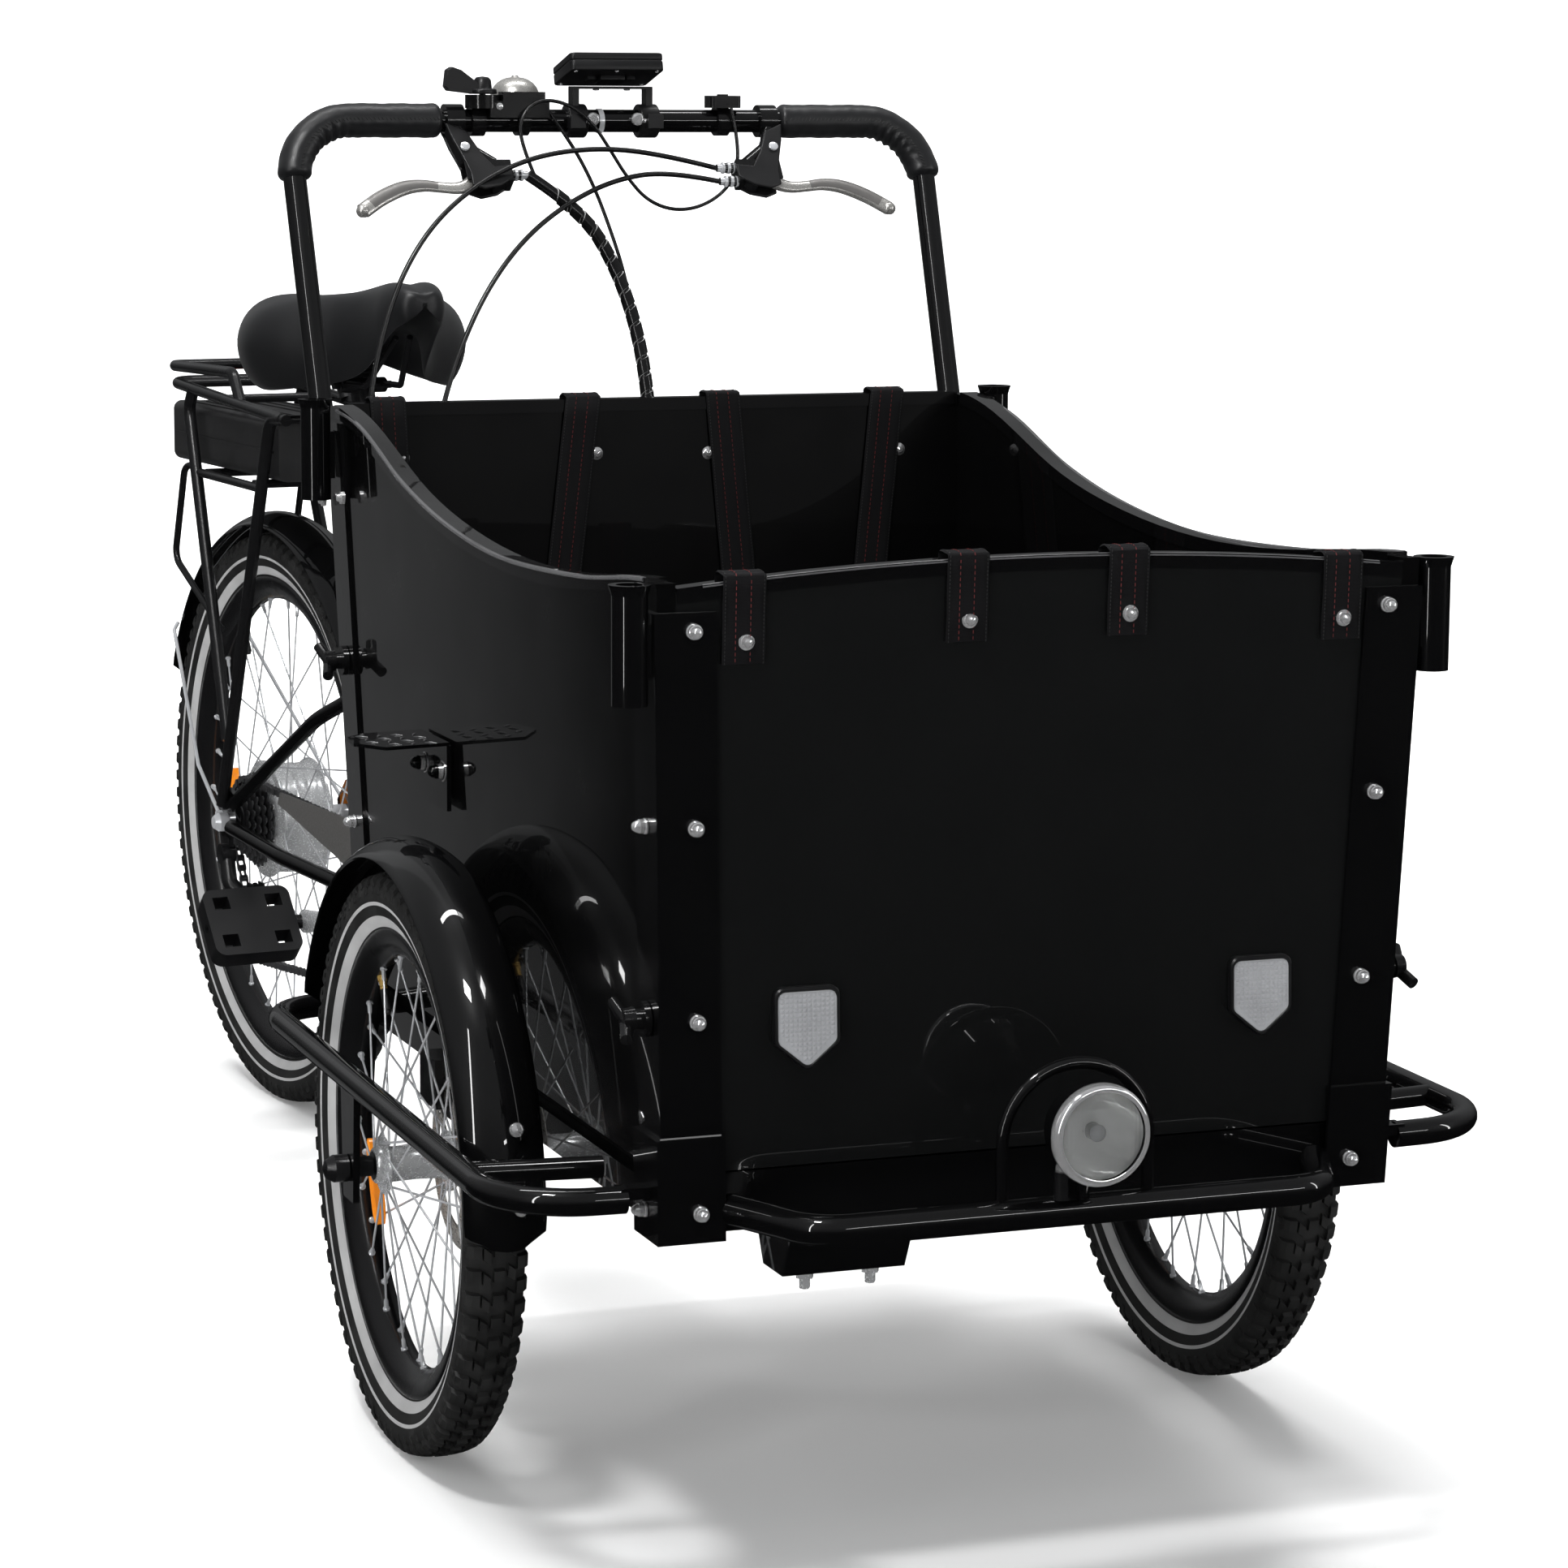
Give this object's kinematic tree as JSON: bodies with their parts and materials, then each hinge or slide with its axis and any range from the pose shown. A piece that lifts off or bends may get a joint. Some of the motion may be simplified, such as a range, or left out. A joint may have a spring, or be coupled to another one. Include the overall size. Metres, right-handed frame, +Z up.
{
  "type": "electric front-box cargo tricycle",
  "caption": "Electric front-box cargo tricycle: a black box with benches between two front wheels, articulated rear unit with pedals, hub motor, saddle and rack battery.",
  "frame": {"origin": "on the ground at the middle of the bounding box, steering turned as it stands", "axes": "+Z up, +Y to the rear of the vehicle, +X to the rider's left; the box unit is square to the axes and the rear unit is turned 6 degrees about the steering pivot"},
  "size_m": [0.912, 2.3203, 1.2062],
  "materials": {
    "black_paint": "deep gloss black powder coat",
    "panel_black": "birch plywood with a smooth gloss black laminate",
    "bench_black": "plywood with a black non-slip film",
    "webbing": "black ribbed nylon webbing with red dashed stitching",
    "zinc_nuts": "bright chrome domed nuts and washers",
    "knob_rubber": "matt black rubber",
    "reflector_white": "clear prismatic reflector",
    "chrome_lamp": "gloss black bowl with chrome rim",
    "lamp_glass": "clear fluted lens",
    "chequer_plate": "black chequer plate",
    "leatherette": "stitched black leatherette",
    "matt_black_plastic": "fine matt black",
    "silver_alloy": "polished cast aluminium",
    "bell_silver": "satin silver dome",
    "steel_silver": "bright steel",
    "cable_black": "smooth black cable jacket",
    "tyre_black": "black tread with a reflective grey stripe on each side",
    "rim_black": "black anodised double wall rim",
    "satin_black": "satin black powder coat",
    "chain_steel": "oiled dark steel",
    "battery_case": "fine matt black case",
    "tail_red": "translucent red lens"
  },
  "bodies": {
    "box_unit": {"chassis_frame": "black_paint", "corner_angles": "black_paint", "front_panel": "panel_black", "rear_panel": "panel_black", "side_panels": "panel_black", "floor_and_benches": "bench_black", "harness_straps": "webbing", "panel_fasteners": "zinc_nuts", "wing_knobs": "knob_rubber", "front_reflectors": "reflector_white", "bumpers": "black_paint", "headlamp_shell": "chrome_lamp", "headlamp_lens": "lamp_glass", "pole_sockets": "black_paint", "side_step": "chequer_plate", "handlebar": "black_paint", "grips": "leatherette", "control_clamps": "matt_black_plastic", "bell_dome": "bell_silver", "display_console": "matt_black_plastic", "front_fenders": "black_paint", "front_axles": "satin_black", "brake_calipers": "satin_black", "brake_cable_upper": "cable_black", "brake_cable_lower": "cable_black", "control_loom": "cable_black", "keypad_cable": "cable_black", "shifter_cable": "cable_black"},
    "wheel_left": {"tyre_left": "tyre_black", "rim_left": "rim_black", "spokes_left": "steel_silver", "hub_left": "silver_alloy"},
    "wheel_right": {"tyre_right": "tyre_black", "rim_right": "rim_black", "spokes_right": "steel_silver", "hub_right": "silver_alloy"},
    "brake_lever_left": {"brake_lever_left": "silver_alloy"},
    "brake_lever_right": {"brake_lever_right": "silver_alloy"},
    "shifter_lever": {"shifter_lever": "matt_black_plastic"},
    "bell_lever": {"bell_lever": "matt_black_plastic"},
    "keypad_button": {"keypad_button": "matt_black_plastic"},
    "rear_unit": {"rear_frame": "black_paint", "rear_rack": "satin_black", "rear_fender": "black_paint", "rear_axle": "steel_silver", "chain": "chain_steel", "chain_guard": "black_paint", "derailleur": "satin_black"},
    "battery": {"battery": "battery_case", "tail_light": "tail_red"},
    "saddle_post": {"seat_post": "satin_black", "saddle_cover": "leatherette"},
    "rear_wheel": {"tyre_rear": "tyre_black", "rim_rear": "rim_black", "spokes_rear": "steel_silver", "motor_hub": "silver_alloy"},
    "cassette": {"cassette": "chain_steel"},
    "crank": {"crankset": "satin_black"},
    "pedal_left": {"pedal_left": "matt_black_plastic"},
    "pedal_right": {"pedal_right": "matt_black_plastic"}
  },
  "joints": [
    {"name": "steering", "type": "hinge", "parent": "box_unit", "child": "rear_unit", "pos_m": [0, -0.4554, 0.27], "axis": [0, 0, 1], "range_deg": [-46, 34]},
    {"name": "wheel_left_spin", "type": "hinge", "parent": "box_unit", "child": "wheel_left", "pos_m": [0.3725, -0.5554, 0.254], "axis": [1, 0, 0], "continuous": true},
    {"name": "wheel_right_spin", "type": "hinge", "parent": "box_unit", "child": "wheel_right", "pos_m": [-0.3725, -0.5554, 0.254], "axis": [1, 0, 0], "continuous": true},
    {"name": "brake_lever_left", "type": "hinge", "parent": "box_unit", "child": "brake_lever_left", "pos_m": [0.15, -0.0094, 1.09], "axis": [0, -0.8051, 0.5931], "range_deg": [0, 20], "stiffness_Nm_per_rad": 1.2, "springref_deg": -11.46},
    {"name": "brake_lever_right", "type": "hinge", "parent": "box_unit", "child": "brake_lever_right", "pos_m": [-0.15, -0.0094, 1.09], "axis": [0, 0.8051, -0.5931], "range_deg": [0, 20], "stiffness_Nm_per_rad": 1.2, "springref_deg": -11.46},
    {"name": "shifter_lever", "type": "hinge", "parent": "box_unit", "child": "shifter_lever", "pos_m": [-0.134, 0.0226, 1.17], "axis": [0, 0, 1], "range_deg": [-22, 22]},
    {"name": "bell_lever", "type": "hinge", "parent": "box_unit", "child": "bell_lever", "pos_m": [-0.08, 0.0516, 1.16], "axis": [0, 0, 1], "range_deg": [0, 22], "stiffness_Nm_per_rad": 0.05, "springref_deg": -11.46},
    {"name": "keypad_button", "type": "slide", "parent": "box_unit", "child": "keypad_button", "axis": [0, 0, -1], "range_m": [0, 0.0015], "stiffness_N_per_m": 400, "springref_m": -0.001},
    {"name": "rear_wheel_spin", "type": "hinge", "parent": "rear_unit", "child": "rear_wheel", "pos_m": [-0.13401, 0.81958, 0.332], "axis": [0.9945, 0.1045, 0], "continuous": true},
    {"name": "cassette_spin", "type": "hinge", "parent": "rear_unit", "child": "cassette", "pos_m": [-0.18373, 0.81435, 0.332], "axis": [0.9945, 0.1045, 0], "continuous": true},
    {"name": "crank_spin", "type": "hinge", "parent": "rear_unit", "child": "crank", "pos_m": [-0.08697, 0.37204, 0.29], "axis": [0.9945, 0.1045, 0], "continuous": true},
    {"name": "pedal_left_spin", "type": "hinge", "parent": "crank", "child": "pedal_left", "pos_m": [0.07976, 0.22073, 0.31659], "axis": [0.9945, 0.1045, 0], "continuous": true},
    {"name": "pedal_right_spin", "type": "hinge", "parent": "crank", "child": "pedal_right", "pos_m": [-0.2537, 0.52335, 0.26341], "axis": [0.9945, 0.1045, 0], "continuous": true},
    {"name": "seat_height", "type": "slide", "parent": "rear_unit", "child": "saddle_post", "axis": [-0.0358, 0.3401, 0.9397], "range_m": [-0.03, 0.1]},
    {"name": "battery_slide", "type": "slide", "parent": "rear_unit", "child": "battery", "axis": [-0.1045, 0.9945, 0], "range_m": [0, 0.34]}
  ],
  "couplings": [
    {"joint": "cassette_spin", "follows": "crank_spin", "ratio": 1.8182}
  ]
}
